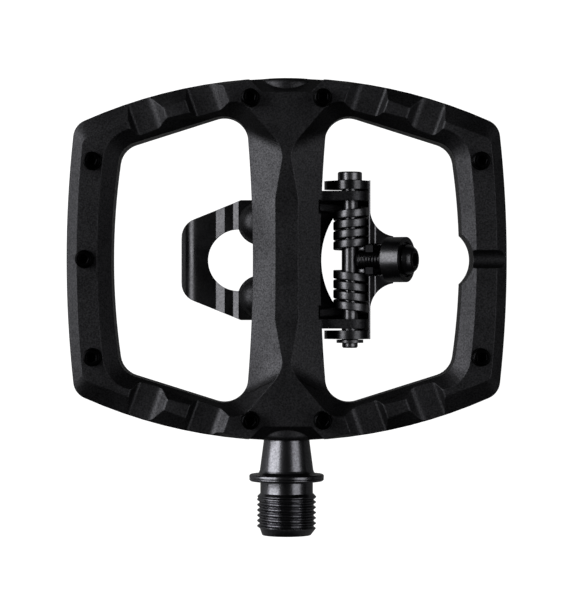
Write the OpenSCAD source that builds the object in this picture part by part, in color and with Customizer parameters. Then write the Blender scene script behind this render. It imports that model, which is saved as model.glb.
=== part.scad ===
// Single-sided clipless trail pedal, left hand, with pins on both faces.
// X points to the rear of the platform, Y outboard along the spindle, Z up from the plain face.
// The origin is on the spindle axis, in the flange face that seats on the crank.

/* [Platform] */
// Half the length of the platform, front to back
body_half_x = 52.5; // [48:0.5:60]
// Half the width of the platform, along the spindle
body_half_y = 43.3; // [41:0.1:50]
// Half the thickness of the platform
body_half_z = 8.5; // [8:0.1:11]
// Depth of the outer chamfer and of the scallops
chamfer_z = 2.2; // [1.5:0.1:3]
// Width of the outer chamfer on the front and rear rails
chamfer_side = 2.5; // [1.5:0.1:3.5]
// Radius of the front and rear edges of the outline
side_r = 272; // [200:1:400]
// Radius of the inboard and outboard edges of the outline
end_r = 119; // [100:1:200]
// Radius of the outline's corners
corner_r = 4.5; // [3:0.1:8]
// Gap between the crank flange and the platform
crank_gap = 10; // [6:0.1:16]

/* [Windows] */
// Width of the front and rear rails at mid height of their wall
rail_w = 10.6; // [8:0.1:13]
// Width of the rails' top face at the middle, with the outer chamfer
rail_top_w = 7.4; // [5:0.1:8.5]
// Half the width of the spindle tube
tube_half = 8.1; // [7.9:0.1:9]
// Half the width of the ridge along the tube's top
ridge_half = 1.0; // [0.5:0.1:2]
// Depth of the shallow scoop along the tube's top
scoop_z = 1.2; // [0.3:0.1:1.4]
// Slope of the windows' inboard and outboard edges
window_slope = 17.35; // [14:0.05:20]

/* [Pins] */
// Radius of a traction pin
pin_r = 2.1; // [1.5:0.05:2.4]
// Height of a pin above the platform
pin_stand = 4; // [2:0.1:6]
// Depth of a pin in the platform
pin_depth = 6; // [4:0.1:6]
// Hexagon socket of a pin, across flats
pin_hex = 2; // [1.3:0.1:2.5]

/* [Spindle and bearings] */
// Length of the threaded end
thread_len = 13; // [11:0.1:15]
// Radius of the crank flange
flange_r = 9; // [8.5:0.1:11]
// Thickness of the crank flange
flange_t = 1.65; // [1.2:0.05:3]
// Radius of the spindle in the inboard bush
journal_r = 5; // [4.6:0.1:5.2]
// Length of the inboard bush
bush_len = 12; // [8:0.5:16]
// Wall of the inboard bush
bush_wall = 0.96; // [0.5:0.01:1]
// Radius of the bearings' bore
bearing_in_r = 3; // [2.5:0.1:3.2]
// Outer radius of the bearings
bearing_out_r = 6.5; // [6.2:0.1:6.6]
// Width of one bearing
bearing_w = 5; // [4:0.1:6]
// Hexagon socket in the crank end, across flats
spindle_hex = 8; // [6:0.1:8]
// Running clearance, on the radius
run_gap = 0.04; // [0.02:0.01:0.1]

/* [Clip] */
// Jaw pivot behind the spindle axis
pivot_x = 15.35; // [14.6:0.05:18]
// Jaw pivot below the middle of the platform
pivot_z = -3.5; // [-4:0.1:-3]
// Radius of the pivot pin
pivot_r = 2; // [1.8:0.05:2.2]
// Plane that the cleat rests on
seat_z = -10.2; // [-11:0.1:-10]
// Room for the cleat's lips under the claw and the jaw
lip_gap = 2.2; // [1.8:0.1:3]
// Thickness of the hooked lips
lip_t = 1.8; // [1.2:0.1:2.5]
// Outer radius of the springs
spring_r = 4.25; // [4:0.05:4.4]
// Width of the flat spring wire, along the pin
wire = 2.05; // [1.6:0.05:2.1]
// Slope of the tension screw
screw_tilt = 27; // [20:1:32]
// Radius of the tension screw
screw_r = 2.05; // [1.8:0.05:2.4]

/* [Hidden] */
$fn = 64;

thread_r = 7.14;                       // standard pedal thread, 9/16 inch, outside radius
mid_y = crank_gap + body_half_y;       // centre of the platform along the spindle
rim_z = body_half_z - chamfer_z;       // height at which the outer chamfer starts
arc_n = 7;                             // steps of each rounded corner
side_n = 8;                            // steps of each long edge

// ---------- outlines ----------
function on_arc(c, r, a) = c + r * [sin(a), cos(a)];
function arc(c, r, a0, a1, n) = [for (i = [0:n]) on_arc(c, r, a0 + (a1 - a0) * i / n)];
function back(v) = [for (i = [len(v) - 1:-1:0]) v[i]];

// Angle, from Y, at which a side of radius big, furthest out at x = w, meets a corner of
// radius r that also touches the line at distance d from the origin, sloping by b.
function corner_angle(d, r, w, big, b) = 90 - (asin((d - r - (w - big) * sin(b)) / (big - r)) - b);

// Quarter of a ring closed by a sloping line: corner and side, from the line to (w, 0).
function corner_and_side(d, r, w, big, b) =
    let (a = corner_angle(d, r, w, big, b),
         side = [w - big, 0],
         c = on_arc(side, big - r, a))
    concat(arc(c, r, b, a, arc_n), arc(side, big, a + (90 - a) / side_n, 90, side_n - 1));

// Outline: a crowned end, a corner and a crowned side.
end_c = [0, body_half_y - end_r];
side_c = [body_half_x - side_r, 0];
corner_c = let (p = end_r - corner_r, q = side_r - corner_r, d = side_c - end_c, l = norm(d),
                k = (p * p - q * q + l * l) / (2 * l), h = sqrt(p * p - k * k), u = d / l)
    end_c + k * u + h * [u.y, -u.x];
end_a = atan2((corner_c - end_c).x, (corner_c - end_c).y);
side_a = atan2((corner_c - side_c).x, (corner_c - side_c).y);
end_n = 10;
outline = concat(
    arc(end_c, end_r, 0, end_a, end_n),
    arc(corner_c, corner_r, end_a + (side_a - end_a) / arc_n, side_a, arc_n - 1),
    arc(side_c, side_r, side_a + (90 - side_a) / side_n, 90, side_n - 1));

// Top edge of the outer chamfer: straight flanks that run out towards the middle.
rim_slope = 20.7;
rim_drop = 0.35;                       // the chamfer's least width, at the middle
rim_rise = 3.6;                        // the flanks would meet this far outside the platform
rim_d = (body_half_y + rim_rise) * cos(rim_slope);
rim_corner_r = 2.5;
rim_end = corner_and_side(rim_d, rim_corner_r, body_half_x - chamfer_side, side_r, rim_slope);
rim_x = rim_end[0].x / outline[end_n].x;
function rim_y(x, y) = min(y - rim_drop, (rim_d - x * sin(rim_slope)) / cos(rim_slope));
rim = concat(
    [for (i = [0:end_n - 1]) let (x = outline[i].x * rim_x)
        [x, rim_y(x, end_c.y + sqrt(end_r * end_r - x * x))]],
    rim_end);

function ring_of(q) = let (n = len(q) - 1) concat(q,
    [for (i = [n - 1:-1:0]) [q[i].x, -q[i].y]],
    [for (i = [1:n]) [-q[i].x, -q[i].y]],
    [for (i = [n - 1:-1:1]) [-q[i].x, q[i].y]]);

// Window wall: tube side, inner corner, sloping edge, outer corner, rail side.
wall_inset = 4.04;                     // the sloping edges would meet this far inside the platform
wall_d = (body_half_y - wall_inset) * cos(window_slope);
wall_out = body_half_x - rail_w;
wall_side_r = 165;
wall_corner_r = 5.5;
tube_side_r = 360;
tube_corner_r = 5.8;
tube_c = [tube_half + tube_side_r, 0];
tube_b = window_slope + asin((wall_d - tube_corner_r - tube_c.x * sin(window_slope))
    / (tube_side_r - tube_corner_r));
tube_corner_c = tube_c + (tube_side_r - tube_corner_r) * [-cos(tube_b), sin(tube_b)];
flare_n = 2 * arc_n + 1;
wall = concat(
    [for (i = [0:side_n - 1]) tube_c + tube_side_r * [-cos(tube_b * i / side_n),
        sin(tube_b * i / side_n)]],
    arc(tube_corner_c, tube_corner_r, tube_b - 90, window_slope, flare_n),
    corner_and_side(wall_d, wall_corner_r, wall_out, wall_side_r, window_slope));

// Window edge in the top face: ridge, diagonal flare, sloping edge, outer corner, rail side.
edge_slope = 14.95;
edge_inset = 2.33;
edge_d = (body_half_y - edge_inset) * cos(edge_slope);
edge_out = body_half_x - rail_top_w;
edge_side_r = 200;
edge_corner_r = 8;
flare_a = 40.6;
flare_y = body_half_y - 16.6;
flare_r = 8.1;
flare_top_r = 5;
flare_t = flare_r * tan(flare_a / 2);
flare_c = [ridge_half + flare_r, flare_y - flare_t];
flare_u = [sin(flare_a), cos(flare_a)];
flare_d = flare_u.y * ridge_half - flare_u.x * flare_y;
flare_top_c = let (p = flare_d + flare_top_r, q = edge_d - flare_top_r,
                   n = [flare_u.y, -flare_u.x], m = [sin(edge_slope), cos(edge_slope)],
                   k = n.x * m.y - n.y * m.x)
    [(p * m.y - q * n.y) / k, (n.x * q - m.x * p) / k];
edge = concat(
    [for (i = [0:side_n - 1]) [ridge_half, flare_c.y * i / side_n]],
    arc(flare_c, flare_r, -90, flare_a - 90, arc_n),
    arc(flare_top_c, flare_top_r, flare_a - 90, edge_slope, arc_n),
    corner_and_side(edge_d, edge_corner_r, edge_out, edge_side_r, edge_slope));

// Height of the wall's top edge: low along the tube, high along the rail.
facet_fall = 0.706;                    // fall of the tube's facets, per mm across
rail_fall = 3.2;                       // fall of the slope inside the rails
rise_x0 = tube_half + 2;               // the edge climbs from here to here
rise_x1 = wall_out - 10;
wall_z_tube = body_half_z - (tube_half - ridge_half) * facet_fall;
wall_z_rail = body_half_z - rail_fall;
function wall_z(x) = let (k = (x - rise_x0) / (rise_x1 - rise_x0 - 2))
    wall_z_tube + (wall_z_rail - wall_z_tube) * max(0, min(1, k));
function window_ring(h) = concat(h, [for (i = [len(h) - 2:-1:1]) [h[i].x, -h[i].y]]);
function at_z(r, z) = [for (p = r) [p.x, p.y, z]];
function at_wall(r, s) = [for (p = r) [p.x, p.y, s * wall_z(p.x)]];

// The window's sloping faces carried on past the top face, so that the cut runs clear of it.
over = 0.5;
function past_top(w, e, s) = [for (i = [0:len(w) - 1])
    let (k = over / (body_half_z - wall_z(w[i].x)), p = e[i] + k * (e[i] - w[i]))
    [p.x, p.y, s * (body_half_z + over)]];

// Solid through a stack of rings that have the same number of points, lowest ring first.
// The first and the last ring are convex.
module loft(rings) {
    n = len(rings[0]);
    top = (len(rings) - 1) * n;
    polyhedron(
        points = [for (r = rings) each r],
        faces = concat(
            [[for (i = [n - 1:-1:0]) i]],
            [[for (i = [0:n - 1]) top + i]],
            [for (k = [0:len(rings) - 2], i = [0:n - 1]) let (j = (i + 1) % n)
                [k * n + i, k * n + j, (k + 1) * n + j]],
            [for (k = [0:len(rings) - 2], i = [0:n - 1]) let (j = (i + 1) % n)
                [k * n + i, (k + 1) * n + j, (k + 1) * n + i]]));
}

// Draws its children about the spindle axis: what is drawn up Z points outboard.
module on_spindle(y = 0) {
    translate([0, y, 0]) rotate([-90, 0, 0]) children();
}

// Ring about the spindle axis.
module collar(r_in, r_out, y0, y1) {
    on_spindle(y0) difference() {
        cylinder(r = r_out, h = y1 - y0);
        translate([0, 0, -1]) cylinder(r = r_in, h = y1 - y0 + 2);
    }
}

// Section in X and Z, drawn as a polygon, carried along Y from y0 to y1.
module along_y(y0, y1) {
    translate([0, y1, 0]) rotate([90, 0, 0]) linear_extrude(y1 - y0) children();
}

function hex_r(flats) = flats / 2 / cos(30);

// ---------- platform body ----------
theta = 19.7;                          // slope of the scallops
scallop_t0 = body_half_y - 18;         // where a scallop's cut starts, along its length
scallop_len = 40;                      // long enough to run out of the platform
// start, slope in, top and foot radius; end, slope out, top and foot radius
scallop_inner = [0.3, 42, 0.05, 2.4, 9.9, 60, 0.5, 1.0];
scallop_outer = [15.5, 45, 1.0, 2.4, 24.4, 60, 0.8, 1.2];

function flank(s, a, r_top, r_foot, z, n = 5) =
    let (t = r_top * tan(a / 2), f = r_foot * tan(a / 2), s1 = s + chamfer_z / tan(a))
    concat([[s - t, z + 1]],
        [for (i = [0:n]) [s - t, z - r_top] + r_top * [sin(a * i / n), cos(a * i / n)]],
        [for (i = [n:-1:0])
            [s1 + f, z - chamfer_z + r_foot] - r_foot * [sin(a * i / n), cos(a * i / n)]]);

function scallop_profile(v) = concat(
    flank(v[0], v[1], v[2], v[3], body_half_z),
    [for (p = back(flank(-v[4], v[5], v[6], v[7], body_half_z))) [-p.x, p.y]]);

module scallops() {
    for (sx = [0, 1], sy = [0, 1], sz = [0, 1], v = [scallop_inner, scallop_outer])
        mirror([sx, 0, 0]) mirror([0, sy, 0]) mirror([0, 0, sz]) rotate([0, 0, -theta])
            along_y(scallop_t0, scallop_t0 + scallop_len) polygon(scallop_profile(v));
}

// Sloping recess above and below the tube's ends: it opens outwards.
recess_len = 3.5;
recess_a = 51;                         // slope of its floor
recess_half = 5.9;                     // half its width at the start
recess_splay = 0.98;                   // widening, per mm outwards
module end_recesses() {
    recess_y = body_half_y - recess_len;
    far = 2 * recess_len;
    far_half = recess_half + far * recess_splay;
    for (sy = [0, 1], sz = [0, 1]) mirror([0, sy, 0]) mirror([0, 0, sz]) intersection() {
        translate([-far_half, recess_y, body_half_z]) rotate([-recess_a, 0, 0])
            cube([2 * far_half, 4 * recess_len, 4 * recess_len]);
        linear_extrude(2 * body_half_z) polygon([[-recess_half, recess_y], [-far_half, recess_y + far],
            [far_half, recess_y + far], [recess_half, recess_y]]);
    }
}

scoop_flat = body_half_y - 29;
scoop_end = flare_c.y + 0.6;
module scoops() {
    for (sz = [0, 1]) mirror([0, 0, sz]) translate([-tube_half, 0, 0]) rotate([90, 0, 90])
        linear_extrude(2 * tube_half) polygon([
            [-scoop_end - 1, body_half_z + 1], [-scoop_end, body_half_z],
            [-scoop_flat, body_half_z - scoop_z], [scoop_flat, body_half_z - scoop_z],
            [scoop_end, body_half_z], [scoop_end + 1, body_half_z + 1]]);
}

// Pin places about the platform's centre.
pin_side = [body_half_x - 6.4, body_half_y - 20];
pin_end = [8.6, body_half_y - 5];
pin_front = [-(body_half_x - 4.5), 0];
pins_four = [for (sx = [-1, 1], sy = [-1, 1], p = [pin_side, pin_end]) [p.x * sx, p.y * sy]];
pin_gap = 0.05;

module pin_holes() {
    for (p = concat(pins_four, [pin_front]))
        translate([p.x, mid_y + p.y, body_half_z - pin_depth - 0.2])
            cylinder(r = pin_r + pin_gap, h = pin_depth + 1);
    for (p = pins_four)
        translate([p.x, mid_y + p.y, -body_half_z - 1])
            cylinder(r = pin_r + pin_gap, h = pin_depth + 1.2);
}

groove_r = 2.15;
notch_r = 7.56;
notch_depth = 2.65;
module rear_rail_cuts() {
    translate([wall_out, 0, body_half_z]) rotate([0, 90, 0]) cylinder(r = groove_r, h = 20);
    translate([wall_out + notch_depth - notch_r, 0, -body_half_z - 1])
        cylinder(r = notch_r, h = 2 * body_half_z + 2);
}

boss_r = bearing_out_r + 0.9;
cap_face = mid_y + body_half_y;
seal_y = crank_gap + 0.4;
seal_len = 2.2;
bush_y = seal_y + seal_len + 0.3;
core_r = journal_r + 0.2;
shaft_r = journal_r - 0.8;
race_y = cap_face - 18.1;
nut_t = 3;
washer_t = 0.7;
spacer_t = 1;
bush_r = journal_r + run_gap + bush_wall;

module tube_core() {
    end = 1.2;
    n = 4;
    round = [for (i = [0:n]) end * [cos(90 * i / n), sin(90 * i / n)]];
    on_spindle(crank_gap) rotate_extrude() polygon(concat(
        [[0, 0]],
        [for (p = back(round)) [boss_r - end + p.x, end - p.y]],
        [for (p = round) [boss_r - end + p.x, 2 * body_half_y - end + p.y]],
        [[0, 2 * body_half_y]]));
}

module spindle_bores() {
    on_spindle(crank_gap - 1)
        cylinder(r = bearing_out_r, h = seal_y + seal_len + 0.1 - crank_gap + 1);
    on_spindle(crank_gap) cylinder(r = bush_r, h = bush_y + bush_len + 0.2 - crank_gap);
    on_spindle(crank_gap) cylinder(r = core_r, h = 2 * body_half_y);
    on_spindle(race_y - 0.3) cylinder(r = bearing_out_r, h = cap_face - race_y + 2);
}

// Places and sizes of the clip's fixings
claw_top = -5.6;
claw_gap = 0.76;                       // between the tube's core and the claw
claw_rear = -(sqrt(boss_r * boss_r - claw_top * claw_top) + claw_gap);
claw_screw = [claw_rear - 2.8, 9.4];
claw_screw_r = 2;
claw_screw_len = 2.1;                  // length of the screw in its boss
claw_boss = [claw_rear - 0.9, 9.1];
claw_boss_r = 5.2;
pad_x0 = -4.9;
coil_gap = 0.35;                       // between two turns of a spring
coil_pitch = wire + coil_gap;
coil_y0 = screw_r + coil_gap;          // inner edge of a spring's first full turn
coil_turns = 3.75;                     // full turns, after the one that widens
leg_shift = 0.5;                       // the outer leg leans outwards
lug_y0 = coil_y0 + coil_pitch * coil_turns + wire + leg_shift + coil_gap;
lug_t = 2.3;
notch_x = 0.4;                         // depth of the notches that the springs rest in
lug_r = 4.6;
gusset_c = pivot_x + 12.65;             // centre of the arc that hollows the gusset
gusset_r = 19.5;
gusset_t = 2.1;

module clip_mounts() {
    for (sy = [-1, 1]) translate([claw_boss.x, mid_y + sy * claw_boss.y, claw_top])
        rotate_extrude() polygon(claw_boss_r * [[0, 0], [1, 0], [0.98, 0.2], [0.93, 0.4], [0.85, 0.56],
            [0.74, 0.7], [0.6, 0.82], [0.42, 0.91], [0.2, 0.96], [0, 0.97]]);
    // pad under the tube, flush with the plane that the cleat rests on
    translate([pad_x0, mid_y - lug_y0 - lug_t, seat_z])
        cube([tube_half - pad_x0, 2 * (lug_y0 + lug_t), -seat_z - 3]);
    // gusset between the lugs
    translate([0, mid_y, seat_z]) linear_extrude(gusset_t) difference() {
        translate([tube_half - 1, -lug_y0 - 0.1]) square([pivot_x - tube_half, 2 * lug_y0 + 0.2]);
        translate([gusset_c, 0]) circle(r = gusset_r, $fn = 128);
    }
    root = tube_half - 1 - pivot_x;
    foot = -0.9;
    for (y = [lug_y0, -lug_y0 - lug_t]) along_y(mid_y + y, mid_y + y + lug_t)
        translate([pivot_x, pivot_z]) {
            circle(r = lug_r);
            polygon([[root, -lug_r + 1], [-lug_r + 1, -lug_r + 1], [0, -lug_r], [0, lug_r],
                [root, lug_r - 0.4]]);
            polygon([[root, 0], [foot, 0], [foot, seat_z - pivot_z], [root, seat_z - pivot_z]]);
        }
}

module clip_mount_holes() {
    for (sy = [-1, 1]) translate([claw_screw.x, mid_y + sy * claw_screw.y, claw_top - 1])
        cylinder(r = claw_screw_r + pin_gap, h = claw_screw_len + 1.2);
    on_spindle() translate([pivot_x, -pivot_z, mid_y - 30]) cylinder(r = pivot_r + run_gap, h = 60);
    notch_l = wire + leg_shift + 2 * coil_gap;
    for (sy = [0, 1]) translate([0, mid_y, 0]) mirror([0, sy, 0])
        translate([tube_half - notch_x, lug_y0 - notch_l, seat_z + gusset_t])
            cube([5, notch_l, body_half_z - seat_z - gusset_t]);
}

module window() {
    w = window_ring(wall);
    e = window_ring(edge);
    loft([at_z(w, -body_half_z - 4 * over), past_top(w, e, -1), at_wall(w, -1),
        at_wall(w, 1), past_top(w, e, 1), at_z(w, body_half_z + 4 * over)]);
}

module platform_body() {
    color("#26272a") difference() {
        union() {
            translate([0, mid_y, 0]) difference() {
                loft([at_z(ring_of(rim), -body_half_z), at_z(ring_of(outline), -rim_z),
                    at_z(ring_of(outline), rim_z), at_z(ring_of(rim), body_half_z)]);
                for (sx = [0, 1]) mirror([sx, 0, 0]) window();
                scallops();
                end_recesses();
                scoops();
                rear_rail_cuts();
            }
            tube_core();
            clip_mounts();
        }
        pin_holes();
        spindle_bores();
        clip_mount_holes();
    }
}

// ---------- pins ----------
module pin() {
    difference() {
        union() {
            translate([0, 0, -pin_depth]) cylinder(r = pin_r, h = pin_depth + pin_stand - 0.3);
            translate([0, 0, pin_stand - 0.3]) cylinder(r1 = pin_r, r2 = pin_r - 0.3, h = 0.3);
        }
        translate([0, 0, pin_stand - 2.5]) cylinder(r = hex_r(pin_hex), h = 3, $fn = 6);
    }
}

module flat_side_pins() {
    color("#1c1c1e") for (p = concat(pins_four, [pin_front]))
        translate([p.x, p.y + mid_y, body_half_z]) pin();
}

module clip_side_pins() {
    color("#1c1c1e") for (p = pins_four)
        translate([p.x, p.y + mid_y, -body_half_z]) mirror([0, 0, 1]) pin();
}

// ---------- spindle and its bearings ----------
neck_r = 6.35;
neck_len = 2.9;
entry_r = 5.55;                        // where the taper enters the platform
root_r = 6.45;                         // where the taper leaves the flange
land_r = journal_r + 0.3;              // under the seal
shoulder_r = bearing_in_r + 0.95;      // stops the inner races
lead = [1.3, 1.7];                     // chamfer of the thread's end, across and along
relief = 0.8;                          // slope from the thread to its relief
bevel = 0.25;                          // of the flange's edges
end_bevel = 0.4;
nut_y = race_y + 2 * bearing_w + spacer_t + washer_t;
tip_y = nut_y + nut_t + 0.7;           // the spindle's outer end
spindle_hex_depth = 8;
lock_nut_flats = 9;

module spindle() {
    color("#2b2b2d") on_spindle() difference() {
        rotate_extrude() polygon([
            [0, -thread_len], [thread_r - lead.x, -thread_len], [thread_r, -thread_len + lead.y],
            [thread_r, -neck_len - relief], [neck_r, -neck_len],
            [neck_r, -0.2], [neck_r + 0.2, 0],
            [flange_r - bevel, 0], [flange_r, bevel],
            [flange_r, flange_t - bevel], [flange_r - bevel, flange_t],
            [root_r + 0.9, flange_t], [root_r + 0.25, flange_t + 0.4], [root_r, flange_t + 1],
            [entry_r, crank_gap - 0.5], [entry_r, crank_gap + 0.1],
            [land_r, crank_gap + 0.2], [land_r, seal_y + seal_len + 0.1],
            [journal_r, seal_y + seal_len + 0.2], [journal_r, bush_y + bush_len + 0.6],
            [shaft_r, bush_y + bush_len + 5], [shaft_r, race_y - 0.6],
            [shoulder_r, race_y - 0.35], [shoulder_r, race_y],
            [bearing_in_r, race_y], [bearing_in_r, tip_y - end_bevel],
            [bearing_in_r - end_bevel, tip_y], [0, tip_y]]);
        translate([0, 0, -thread_len - 1])
            cylinder(r = hex_r(spindle_hex), h = spindle_hex_depth + 1, $fn = 6);
    }
}

module inboard_seal() {
    color("#141414") collar(land_r + run_gap, bearing_out_r - touch, seal_y, seal_y + seal_len);
}

module inboard_bush() {
    color("#7d6a3a") collar(journal_r + run_gap, bush_r - touch / 2, bush_y, bush_y + bush_len);
}

ball_n = 9;
ball_r = 0.97;
ball_gap = 0.06;
pitch_r = (bearing_in_r + bearing_out_r) / 2;
race_edge = 0.6;                       // from the balls' circle to each race
cage_half = 0.35;                      // half the thickness of a cage
cage_y = [-0.2, 0.36 * bearing_w];     // its ends, from the balls' plane
shield_half = 0.13;
touch = 0.01;                          // least gap between parts that bear on each other
bearings = [race_y + bearing_w / 2, race_y + bearing_w * 1.5 + spacer_t];

module race(r0, r1) {
    for (y = bearings) on_spindle(y) rotate_extrude() difference() {
        translate([r0, -bearing_w / 2]) square([r1 - r0, bearing_w]);
        translate([pitch_r, 0]) circle(r = ball_r + ball_gap, $fn = 32);
    }
}

module bearing_outer_races() { color("#b9bcc0") race(pitch_r + race_edge, bearing_out_r - touch); }
module bearing_inner_races() { color("#b9bcc0") race(bearing_in_r + touch, pitch_r - race_edge); }

module ball_places() {
    for (y = bearings, i = [0:ball_n - 1])
        on_spindle(y) rotate([0, 0, 360 * i / ball_n]) translate([pitch_r, 0, 0]) children();
}

module bearing_balls() {
    color("#d5d8dc") ball_places() sphere(r = ball_r, $fn = 24);
}

module bearing_cages() {
    color("#8a6d3b") difference() {
        for (y = bearings)
            collar(pitch_r - cage_half, pitch_r + cage_half, y + cage_y[0], y + cage_y[1]);
        ball_places() sphere(r = ball_r + 0.04, $fn = 24);
    }
}

module bearing_shields() {
    color("#303134") for (y = bearings, s = [-1, 1]) let (c = y + s * (bearing_w / 2 - 0.2))
        collar(pitch_r - race_edge + 0.15, pitch_r + race_edge - touch / 2,
            c - shield_half, c + shield_half);
}

module race_spacer() {
    y = race_y + bearing_w;
    color("#9a9da1") collar(bearing_in_r + touch, shoulder_r, y + touch / 2, y + spacer_t - touch / 2);
}

module lock_washer() {
    color("#9a9da1") collar(bearing_in_r + touch, shoulder_r + bevel,
        nut_y - washer_t + touch / 2, nut_y - touch / 2);
}

module spindle_lock_nut() {
    color("#8f9296") on_spindle(nut_y) difference() {
        cylinder(r = hex_r(lock_nut_flats), h = nut_t, $fn = 6);
        translate([0, 0, -1]) cylinder(r = bearing_in_r + touch, h = nut_t + 2);
    }
}

cap_t = 2.2;
cap_in = 0.2;                          // the cap sits back in the tube
cap_r = bearing_out_r - 2 * touch;
cap_flats = 5;
cap_hex_depth = 1.4;
ring_r = 0.45;
ring_y = cap_t / 2 + 0.1;              // the rubber ring, behind the cap's face
module end_cap() {
    color("#202124") on_spindle(cap_face - cap_in) difference() {
        rotate_extrude() difference() {
            polygon([[0, -cap_t], [cap_r, -cap_t], [cap_r, -end_bevel], [cap_r - end_bevel, 0], [0, 0]]);
            translate([bearing_out_r, -ring_y]) circle(r = 2 * ring_r + 0.05, $fn = 32);
        }
        translate([0, 0, -cap_hex_depth])
            cylinder(r = hex_r(cap_flats), h = 2 * cap_hex_depth, $fn = 6);
    }
}

module end_cap_ring() {
    color("#101010") on_spindle(cap_face - cap_in - ring_y) rotate_extrude()
        translate([cap_r - ring_r, 0]) circle(r = ring_r, $fn = 24);
}

// ---------- front claw ----------
claw_t = 2.2;                          // plate thickness
claw_front = claw_rear - 20.2;
claw_half = 14.6;
claw_nose_half = 5.4;                  // half the straight part of the front edge
claw_corner_r = 4.9;
claw_shoulder_x = claw_rear - 5.5;               // where the sides start to taper
claw_hook_r = 4.2;
claw_hole_x = claw_rear - 6.1;
claw_hole_r = 7.5;
claw_hole_half = 5.2;                  // half the width of the hole between the bosses
claw_fall = 0.5;                       // fall of the two steps in the plate, per mm
claw_steps = [claw_rear - 6.1, claw_rear - 9.5]; // where the steps start
claw_mid = claw_top - 0.65;            // top of the plate between the steps
flat_top = seat_z + 2.9;               // top of the plate in front of them
lip_top = seat_z - lip_gap;
lip_low = lip_top - lip_t;
lip_x = claw_front + 5.5;              // rear edge of the claw's lip
throat_x = claw_front + 3.2;           // bottom of the throat that takes the cleat's nose
throat_bulge = 1.1;
lip_round = 1.2;

// Section of the claw: plate with two steps, hook, lip and throat.
module claw_section() {
    hook = [claw_front + claw_hook_r, flat_top - claw_hook_r];
    nose = [claw_front + lip_round, lip_low + lip_round];
    x1 = claw_steps[0] - (claw_top - claw_mid) / claw_fall;
    x2 = claw_steps[1] - (claw_mid - flat_top) / claw_fall;
    polygon(concat(
        [[claw_rear, claw_top], [claw_steps[0], claw_top], [x1, claw_mid], [claw_steps[1], claw_mid],
            [x2, flat_top]],
        [for (i = [0:6]) hook + claw_hook_r * [-sin(15 * i), cos(15 * i)]],
        [for (i = [0:3]) nose - lip_round * [cos(30 * i), sin(30 * i)]],
        [[lip_x - 0.7, lip_low], [lip_x, lip_low + 0.6], [lip_x, lip_top], [throat_x, lip_top]],
        [for (i = [1:3]) [throat_x - throat_bulge * sin(60 * i),
            seat_z - lip_gap / 2 * (1 + cos(60 * i))]],
        [[x2 + 0.3, seat_z], [claw_steps[1] + 0.3, claw_mid - claw_t], [x1 + 0.2, claw_mid - claw_t],
            [claw_steps[0], claw_top - claw_t], [claw_rear, claw_top - claw_t]]));
}

// The claw from above: rounded nose, tapering sides and a hole that leaves the bosses' seats.
module claw_plan() {
    corner = [for (i = [0:6]) [claw_front + claw_corner_r * (1 - cos(12 * i)),
        claw_nose_half + claw_corner_r * sin(12 * i)]];
    side = concat(corner, [[claw_shoulder_x, claw_half], [claw_rear, claw_half]]);
    difference() {
        polygon(concat(side, [for (p = back(side)) [p.x, -p.y]]));
        difference() {
            union() {
                translate([claw_hole_x, 0]) circle(r = claw_hole_r);
                translate([claw_hole_x, -claw_hole_half]) square([10, 2 * claw_hole_half]);
            }
            for (s = [-1, 1]) translate([claw_boss.x, s * claw_boss.y]) circle(r = claw_boss_r + 0.2);
        }
    }
}

module front_claw() {
    color("#3a3b3e") difference() {
        intersection() {
            along_y(mid_y - 20, mid_y + 20) claw_section();
            translate([0, mid_y, -30]) linear_extrude(40) claw_plan();
        }
        for (sy = [-1, 1]) translate([claw_screw.x, mid_y + sy * claw_screw.y, claw_top - claw_t - 1])
            cylinder(r = claw_screw_r + pin_gap, h = claw_t + 2);
    }
}

module front_claw_screws() {
    head = 2;
    head_r = 3.3;
    flats = 2.5;
    hex_depth = 1.4;
    color("#1f1f21") for (sy = [-1, 1])
        translate([claw_screw.x, mid_y + sy * claw_screw.y, claw_top - claw_t]) difference() {
            union() {
                cylinder(r = claw_screw_r, h = claw_t + claw_screw_len);
                translate([0, 0, -head]) cylinder(r = head_r, h = head);
            }
            translate([0, 0, -head - 1]) cylinder(r = hex_r(flats), h = hex_depth + 1, $fn = 6);
        }
}

// ---------- rear jaw ----------
ear_gap = 0.5;                         // between a lug and its ear
ear_y0 = lug_y0 + lug_t + ear_gap;
ear_t = 2.05;
ear_r = 4.7;
shell_in = spring_r + 0.95;            // shell that curves under the springs
shell_out = shell_in + 1.9;
shell_from = 0.9;                      // the shell starts here behind the pivot
shell_to = 30;                         // and ends at this slope
jaw_rear = pivot_x + 4.85;
jaw_half = ear_y0 + ear_t;
// Along the tension screw, from the pivot:
tension_boss_r = 5.45;
tension_t0 = 10.4;                     // boss, from here
tension_t1 = 15;                       // to here
bore_t = 13.2;                         // floor of the counterbore
bore_r = 4.3;
slot_half = 3.95;
nut_t0 = spring_r + 0.35;              // face of the nut that the springs push on
nut_len = 2.2;
nut_travel = 2.4;
nut_low = 3.1;                         // from the screw's axis to the nut's lower face
nut_high = 1.2;                        // and to its upper face, which leaves the screw bare
slot_gap = 0.35;                       // between the nut and the slot's sides
slot_t = nut_t0 + nut_len + nut_travel + 0.3;

// Outline of an ear: two discs, of radius r1 and r2, with their common tangents.
ear_foot = [-2.6, -1.5];
ear_foot_r = 3.6;
function ear_outline() = let (n = 12, l = norm(ear_foot), t = atan2(ear_foot.y, ear_foot.x),
        b = acos((ear_r - ear_foot_r) / l))
    concat(
        [for (i = [0:2 * n]) let (a = t + b + (180 - b) * i / n) ear_r * [cos(a), sin(a)]],
        [for (i = [0:n]) let (a = t - b + 2 * b * i / n) ear_foot + ear_foot_r * [cos(a), sin(a)]]);

// Draws its children about the tension screw's axis: what is drawn up Z points to the head.
module on_screw() {
    translate([pivot_x, mid_y, pivot_z]) rotate([0, 90 - screw_tilt, 0]) children();
}

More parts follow.
